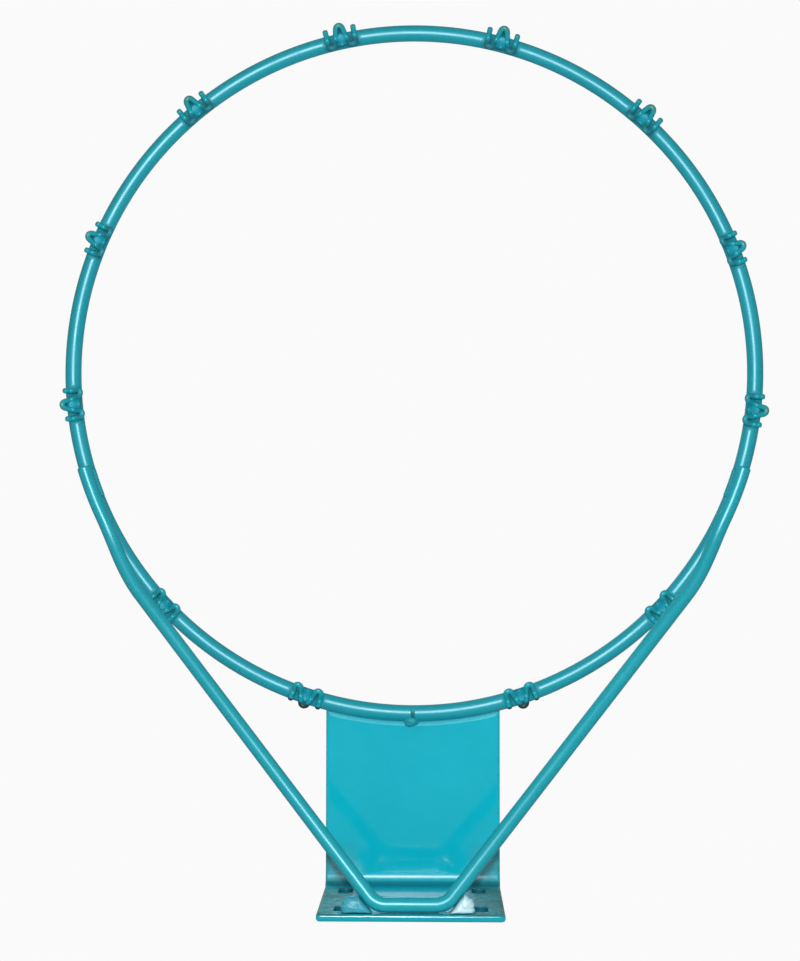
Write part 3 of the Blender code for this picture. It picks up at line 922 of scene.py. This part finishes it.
def parts_of(wire, place):
    """The three coordinates of a place as wires."""
    return [wire.node("ShaderNodeSeparateXYZ", None, {0: place}, output=k) for k in range(3)]


def plate_shade_masks(wire, place, mottle):
    """Three masks on the plate: painted shade in patches, darker painted shade, and where its bend is.

    front is the leg's front face, beside the strips at its sides, under the neck's rear corners where the
    brace's legs cast shadow, slot each slot with a narrow margin, corner the foot of the inside bend where a
    contact shadow falls, below the leg's lower end under the brace's foot and edge its cut face.
    """
    x, y, z = parts_of(wire, place)
    front = ramp(y, -0.0030, -0.0042) * ramp(y, -0.0095, -0.0080)
    outwards = wire.math("ABSOLUTE", x)
    beside = ramp(outwards, 0.0345, 0.0410) * ramp(z, 0.049, 0.043) * front
    under = ramp(outwards, 0.0350, 0.0460) * ramp(z, 0.049, 0.051) * ramp(z, 0.0605, 0.0595)
    under = under * ramp(y, -0.036, -0.022) * ramp(y, -0.0040, -0.0048)
    patchy = ramp(mottle, 0.38, 0.62) * 0.5 + 0.5
    shade_patches = (beside + under * 0.6) * patchy
    to_slot = wire.math("ABSOLUTE", z) - SLOT_Z
    slot = box_mask(wire, outwards - SLOT_X, to_slot, SLOT_HALF_WIDTH + 0.0008, 0.0098, 0.0008)
    corner = ramp(z, 0.0500, 0.0516) * ramp(z, 0.0572, 0.0556) * front * 0.7
    below = ramp(z, -0.0445, -0.0485) * front * 0.45
    bend = ramp(z, 0.0500, 0.0515) * ramp(y, -0.0135, -0.0115)
    edge = ramp(z, -0.0502, -0.0508) * 0.30
    # Painted shade: the slots, the foot of the bend, the leg's lower end and the cut face go dark.
    dark = wire.math("MAXIMUM", wire.math("MAXIMUM", slot, corner), below)
    return shade_patches, wire.math("MAXIMUM", dark, edge), bend


# The masks above paint shade on the plate.
print("wear masks of the plate ready")

# %% [markdown]
# On the ring and the hooks the marks follow the bar: painted shadow on its inner underside beside each hook
# and in the eyes, strongest at the front, and painted shade on the hooks outside it. So these masks read how
# far out from the bar's middle line a point lies and how many degrees round the ring.

# %% Painted shade on the ring, the hooks and the tacks
def ring_reach(wire, place):
    """Outwards from the bar's middle line, degrees round the ring, share to the front, and height."""
    x, y, z = parts_of(wire, place)
    y = y - RING_Y
    turn = wire.math("ARCTAN2", x, 0.0 - y) * math.degrees(1)
    reach = wire.math("SQRT", x * x + y * y) - RING_RADIUS
    return reach, turn, ramp(y, 0.20, -0.20), z - RING_Z


def hook_shade_and_joint(wire, place, mottle):
    """Two masks on the ring: painted shadow by each hook, most at the front, with the dark joint, and dull
    on the whole underside by each hook.
    """
    reach, turn, front, up = ring_reach(wire, place)
    nearest = wire.math("ABSOLUTE", turn - HOOK_ANGLES[0])
    for angle in HOOK_ANGLES[1:]:
        nearest = wire.math("MINIMUM", nearest, wire.math("ABSOLUTE", turn - angle))
    along = nearest * math.radians(RING_RADIUS) + (mottle - 0.5) * 0.003
    zone = ramp(along, 0.0138, 0.0122) * ramp(up, 0.001, -0.001)
    inside = ramp(reach, -0.0008, -0.0030) * ramp(reach, -0.0054, -0.0044)
    seam = ramp(wire.math("ABSOLUTE", wire.math("ABSOLUTE", turn) - SEAM_ANGLE), 0.34, 0.16)
    seam = seam * ramp(reach, -0.0025, -0.0010) * ramp(reach, 0.0042, 0.0030)
    return wire.math("MAXIMUM", zone * inside * front * 0.5, seam * 0.9), zone


def eye_shadow(wire, place, mottle):
    """Two masks on the hooks: painted shadow in the eyes, most at the front of the ring, and how dull it is.
    """
    reach, turn, front, up = ring_reach(wire, place)
    inside = ramp(reach + (mottle - 0.5) * 0.003, -0.0012, -0.0038) * front
    return inside * 0.7, inside


def hook_outer_shade(wire, place):
    """Two masks on the hooks outside the ring: a darker, greener painted shade, and a near-black painted
    shadow nearest the plate.
    """
    reach, turn, front, up = ring_reach(wire, place)
    return ramp(reach, 0.0040, 0.0075) * 0.85, ramp(reach, 0.0030, 0.0048) * ramp(front, 0.12, 0.04) * 0.95


def web_edge_shade(wire, place, mottle):
    """Two masks on the tacks, both the same: painted shade on the sunk parts beyond the bar's two sides, and
    dulling there.
    """
    reach = ring_reach(wire, place)[0]
    recess_shade = wire.math("MAXIMUM", ramp(reach, 0.0018, 0.0034), ramp(reach, -0.0046, -0.0056) * 0.6) * 0.95
    return recess_shade, recess_shade


# Painted shade and shadow for each kind of paint, by the hooks, in their eyes and on the tacks.
SHADE_MASKS_OF = {"ring": hook_shade_and_joint, "cord": eye_shadow, "tack": web_edge_shade}


# The masks above paint shade and shadow on the ring, the hooks and the tacks, and the ring's dark joint.
print("wear masks of the ring, hooks and tacks ready")

# %% [markdown]
# ## The coat
# The patterns read Object coordinates, which are plain metres in the rim's own frame, so a noise scale of
# 500 means cells of about 2 mm on every piece, and the pattern runs on from one piece to the next as a
# sprayed coat does. The orange peel is two sizes of noise, the flake a fine cell pattern, and the tone
# drifts slowly where the coat went on a little thicker. Each mask then mixes its own painted shade, darker
# or greener, into the coat and makes it duller. An ambient occlusion node also darkens every crevice, which
# is painted shade too.

# %% Paint recipe
PEEL_SCALE = 420.0
FLAKE_SCALE = 2600.0
DRIFT_SCALE = 16.0
# Painted shade on the hooks' parts outside the ring.
OUTER_SHADE_TINT = (0.040, 0.225, 0.190, 1.0)
# Painted shade: the two colours of the patches on the plate.
SHADE_PATCH_DARK = (0.012, 0.155, 0.160, 1.0)
SHADE_PATCH_PALE = (0.050, 0.240, 0.200, 1.0)
# Painted shadow on the hooks' noses nearest the plate.
NOSE_SHADOW_COLOUR = (0.004, 0.020, 0.028, 1.0)
# Painted shade in crevices: its colour, how far the occlusion reaches, and its share for each paint.
CREVICE_SHADE = (0.003, 0.110, 0.150, 1.0)
CREVICE_SHADE_REACH = 0.006
CREVICE_SHADE_SHARE = {"clean": 0.0, "brace": 0.35}


def paint(name, deep, bright, roughness, metallic, peel, lump=0.0, specular=0.4, shade_and_dulling=None):
    """Teal powder coat. peel and lump are the heights of the bump's fine and coarse part in metres."""
    material = bpy.data.materials.new(name)
    material.use_nodes = True
    tree = material.node_tree
    shader = tree.nodes["Principled BSDF"]
    wire = Wire(tree)
    place = wire.node("ShaderNodeTexCoord", output=3)

    def noise(scale, detail=2.0):
        inputs = {"Vector": place, "Scale": scale, "Detail": detail}
        return wire.node("ShaderNodeTexNoise", None, inputs)

    drift = noise(DRIFT_SCALE, 3.0)
    mottle = noise(DRIFT_SCALE * 9, 2.0)
    flake = wire.node("ShaderNodeTexVoronoi", None, {"Vector": place, "Scale": FLAKE_SCALE}, output=1)
    flake = wire.node("ShaderNodeSeparateColor", None, {0: flake})
    peel_fine = noise(PEEL_SCALE, 1.5)
    peel_wide = noise(PEEL_SCALE * 0.22, 2.0)

    tone = (drift - 0.5) * 1.3 + (mottle - 0.5) * 0.5 + (flake - 0.5) * 0.10 + 0.5
    tone = wire.math("ADD", tone, 0.0, clamp=True)
    colour = blend_colours(wire, tone, (*deep, 1.0), (*bright, 1.0))
    # Painted shade: an ambient occlusion node darkens every crevice.
    inputs = {"Distance": CREVICE_SHADE_REACH}
    open_share = wire.node("ShaderNodeAmbientOcclusion", {"samples": 8}, inputs, output=1)
    painted_shade = ramp(open_share, 0.78, 0.32) * CREVICE_SHADE_SHARE.get(shade_and_dulling, 0.8)
    dull = painted_shade * 0.35
    # Painted shade on the plate: patches beside the leg and under the neck's rear corners, and dark slots
    # and corners.
    if shade_and_dulling == "plate":
        patch_colour = blend_colours(wire, ramp(noise(240.0, 3.0), 0.35, 0.65), SHADE_PATCH_DARK, SHADE_PATCH_PALE)
        shade_patches, dark, bend = plate_shade_masks(wire, place, noise(110.0, 3.0))
        colour = blend_colours(wire, shade_patches, colour, patch_colour)
        painted_shade = wire.math("MAXIMUM", painted_shade * ramp(parts_of(wire, place)[2], 0.052, 0.048), dark)
        dull = dull + shade_patches * 0.35 + bend * 0.20
    # Painted shade and painted shadow on the hooks outside the ring.
    if shade_and_dulling == "cord":
        outer_shade, nose_shadow = hook_outer_shade(wire, place)
        colour = blend_colours(wire, outer_shade, colour, OUTER_SHADE_TINT)
        colour = blend_colours(wire, nose_shadow, colour, NOSE_SHADOW_COLOUR)
        dull = dull + (outer_shade + nose_shadow) * 0.12
    # Less painted shade in the crevice where the brace lies along the ring.
    if shade_and_dulling == "ring":
        turn = wire.math("ABSOLUTE", ring_reach(wire, place)[1])
        painted_shade = painted_shade * (1 - ramp(turn, 104.0, 107.0) * ramp(turn, 130.0, 122.0) * 0.6)
    # Painted shadow beside the hooks and in their eyes, and painted shade on the tacks' sunk parts.
    if shade_and_dulling in SHADE_MASKS_OF:
        recess_shade, matt = SHADE_MASKS_OF[shade_and_dulling](wire, place, mottle)
        painted_shade = wire.math("MAXIMUM", painted_shade, recess_shade)
        dull = dull + matt * 0.35
    colour = blend_colours(wire, painted_shade, colour, CREVICE_SHADE)
    tree.links.new(colour.socket, shader.inputs["Base Color"])
    shine = (peel_wide - 0.5) * 0.10 + (mottle - 0.5) * 0.08 + dull + roughness
    tree.links.new(shine.socket, shader.inputs["Roughness"])
    sparkle = (flake - 0.5) * 0.05 + metallic
    tree.links.new(sparkle.socket, shader.inputs["Metallic"])
    height = peel_fine * peel + peel_wide * (3 * peel)
    if lump:
        rough = noise(900.0, 3.0)
        pool = noise(260.0, 2.0)
        height = height + rough * (lump * 0.35) + pool * lump
    bump = {"Strength": 1.0, "Distance": 1.0, "Height": height}
    normal = wire.node("ShaderNodeBump", None, bump)
    tree.links.new(normal.socket, shader.inputs["Normal"])
    shader.inputs["Specular IOR Level"].default_value = specular
    return material


print("paint recipe ready")

# %% [markdown]
# One coat covers the whole rim, yet each kind of piece shows it differently. The flat plate is sprayed
# evenly and gleams, and it is painted a lighter teal than the bars and wires, a painted sheen. Weld metal is
# rough under its coat. The weld under the neck is painted a lighter teal still, a painted reflection, and
# the two welds of the foot carry a painted highlight: near white on the right one, a fainter light blue on
# the left one.

# %% Paint on the pieces
PAINTS = {
    "ring": paint("ring_teal", (0.005, 0.270, 0.335), (0.012, 0.318, 0.388), 0.34, 0.06, 4e-6, shade_and_dulling="ring"),
    # Painted sheen: the plate is painted a lighter teal than the ring, the brace and the hooks.
    "plate": paint(
        "plate_teal_painted_sheen", (0.001, 0.365, 0.470), (0.003, 0.415, 0.525), 0.09, 0.0, 1.5e-6, 0.0, 0.5, "plate"
    ),
    "brace": paint(
        "brace_teal", (0.005, 0.290, 0.355), (0.012, 0.340, 0.410), 0.30, 0.06, 4e-6, shade_and_dulling="brace"
    ),
    "hook": paint("hook_teal", (0.004, 0.290, 0.355), (0.012, 0.360, 0.430), 0.32, 0.02, 5e-6, shade_and_dulling="cord"),
    "tack": paint(
        "tack_teal", (0.002, 0.225, 0.300), (0.008, 0.300, 0.380), 0.42, 0.10, 6e-6, 5e-5, 0.2, "tack"
    ),
    # Painted highlights: both foot welds are painted paler than the other welds, the right one near white.
    "foot_left": paint(
        "foot_weld_faint_painted_highlight", (0.012, 0.270, 0.345), (0.060, 0.370, 0.465), 0.40, 0.0, 6e-6, 3e-5
    ),
    "foot_right": paint(
        "foot_weld_painted_highlight", (0.220, 0.520, 0.600), (0.680, 0.850, 0.900), 0.35, 0.0, 6e-6, 4e-5
    ),
    # Painted reflection: the weld under the neck is painted a lighter teal.
    "neck": paint(
        "neck_weld_painted_reflection", (0.060, 0.540, 0.660), (0.095, 0.620, 0.745), 0.20, 0.02, 4e-6, 4e-5, shade_and_dulling="clean"
    ),
    "bead": paint(
        "bead_teal", (0.004, 0.235, 0.290), (0.010, 0.280, 0.340), 0.60, 0.0, 6e-6, 3e-5, 0.2, "clean"
    ),
    "weld": paint(
        "weld_teal", (0.008, 0.250, 0.310), (0.016, 0.300, 0.365), 0.38, 0.0, 6e-6, 3e-5, 0.3, "clean"
    ),
}
SLOT_OF = {
    "ring_bar": ("ring", "ring_paint"),
    "mounting_plate": ("plate", "plate_paint"),
    "brace_bar": ("brace", "brace_paint"),
    "hook_wire": ("hook", "hook_paint"),
    "tack": ("tack", "weld_paint"),
    "neck_fillet_under": ("neck", "weld_paint"),
    "brace_bead": ("bead", "weld_paint"),
    "foot_fillet_left": ("foot_left", "weld_paint"),
    "foot_fillet_right": ("foot_right", "weld_paint"),
}
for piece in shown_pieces():
    kind, slot = next((v for k, v in SLOT_OF.items() if piece.name.startswith(k)), ("weld", "weld_paint"))
    piece.data.materials.clear()
    piece.data.materials.append(PAINTS[kind])

# %% [markdown]
# ## Studio
# The rim hangs in the air as it does when mounted, over a plain pale floor 3 m below, so the camera can
# stand underneath. Backdrop and floor are near white to the camera, but the paint sees a calmer grey
# room in their place. A plain white studio would be simpler, but white all round would bleach the edges
# of every bar.

# %% Floor and backdrop
FLOOR_Z = -3.0
FLOOR_HALF = 40.0
BACKDROP_SHADE = 0.955
ROOM_SHADE = 0.29


def floor_mesh():
    """A level grid of points, eight by eight fields, far wider than any view."""
    line = np.linspace(-FLOOR_HALF, FLOOR_HALF, 9)
    x, y = np.meshgrid(line, line)
    points = np.stack([x, y, np.full_like(x, FLOOR_Z)], -1).reshape(-1, 3)
    mesh = bpy.data.meshes.new("floor")
    mesh.from_pydata(points.tolist(), [], grid_faces(9, 9, False, False).tolist())
    return mesh


def plain_material(name, shade, roughness, glow):
    """A matt pale surface with a faint cloudy grain, which also glows a little by itself."""
    material = bpy.data.materials.new(name)
    material.use_nodes = True
    shader = material.node_tree.nodes["Principled BSDF"]
    wire = Wire(material.node_tree)
    place = wire.node("ShaderNodeTexCoord", output=3)
    grain = wire.node("ShaderNodeTexNoise", None, {"Vector": place, "Scale": 3.0, "Detail": 4.0})
    light = (shade, shade, shade, 1.0)
    dark = (shade * 0.97, shade * 0.97, shade * 0.98, 1.0)
    material.node_tree.links.new(blend_colours(wire, grain, light, dark).socket, shader.inputs["Base Color"])
    shader.inputs["Roughness"].default_value = roughness
    shader.inputs["Emission Color"].default_value = light
    shader.inputs["Emission Strength"].default_value = glow
    return material


def studio_world():
    """The camera sees the backdrop's shade, all other rays a room that is calmer."""
    world = bpy.data.worlds.new("studio")
    world.use_nodes = True
    tree = world.node_tree
    wire = Wire(tree)
    for node in list(tree.nodes):
        if node.type != "OUTPUT_WORLD":
            tree.nodes.remove(node)
    seen = wire.node("ShaderNodeLightPath")
    room = wire.node("ShaderNodeBackground", None, {0: (1.0, 1.0, 1.0, 1.0), 1: ROOM_SHADE})
    backdrop = wire.node("ShaderNodeBackground", None, {0: (1.0, 1.0, 1.0, 1.0), 1: BACKDROP_SHADE})
    both = wire.node("ShaderNodeMixShader", None, {0: seen, 1: room, 2: backdrop})
    out = next(node for node in tree.nodes if node.type == "OUTPUT_WORLD")
    tree.links.new(both.socket, out.inputs["Surface"])
    bpy.context.scene.world = world


floor = bpy.data.objects.new("floor", floor_mesh())
bpy.context.scene.collection.objects.link(floor)
floor.data.materials.append(plain_material("pale_floor", 0.80, 0.7, 0.62))
floor.visible_glossy = False
floor.visible_diffuse = False
studio_world()
print("floor and backdrop ready")

# %% [markdown]
# Round steel shows every lamp as a line along the bar, and one lamp can't be right both as a light and as
# its own mirror image, so the work is split. A small flash shades the paint and isn't mirrored. The key and
# two lamps near the lens are only mirrored: they draw the highlight down the middle of each bar and the
# bright line along the bend. A wide fill opens the shadows, and two boxes above serve the views from the
# top. They aren't mirrored, because mirrored they would draw white rims along the bars in the photo's view.

# %% Lights
MIDDLE = (0.0, -0.30, 0.02)
COOL_LIGHT = (0.96, 1.0, 1.06)


def soft_box(name, place, size, power, glossy=True, diffuse=True):
    """A square area light, side in metres and power in watts, aimed at the rim; cool if mirrored."""
    data = bpy.data.lights.new(name, "AREA")
    data.shape = "SQUARE"
    data.size = size
    data.energy = power
    data.color = COOL_LIGHT if glossy else (1.0, 1.0, 1.0)
    box = bpy.data.objects.new(name, data)
    bpy.context.scene.collection.objects.link(box)
    box.location = place
    box.rotation_euler = (Vector(MIDDLE) - Vector(place)).to_track_quat("-Z", "Y").to_euler()
    box.visible_camera = False
    box.visible_glossy = glossy
    box.visible_diffuse = diffuse
    return box


soft_box("flash", (0.01, -0.31, -1.25), 0.05, 13.2, glossy=False)
soft_box("key", (-0.16, -0.58, -1.25), 0.44, 19, diffuse=False)
soft_box("lamp", (-0.01, -0.24, -1.25), 0.09, 0.4, diffuse=False)
soft_box("lamp_front", (-0.01, -0.37, -1.25), 0.17, 2.0, diffuse=False)
soft_box("fill", (0.05, -0.45, -1.35), 1.80, 4.6, glossy=False)
soft_box("top", (-0.9, -1.4, 1.9), 1.4, 45, glossy=False)
soft_box("top_wide", (1.2, 0.8, 2.4), 2.2, 40, glossy=False)
scene = bpy.context.scene
scene.view_settings.view_transform = "Standard"
print("studio ready")
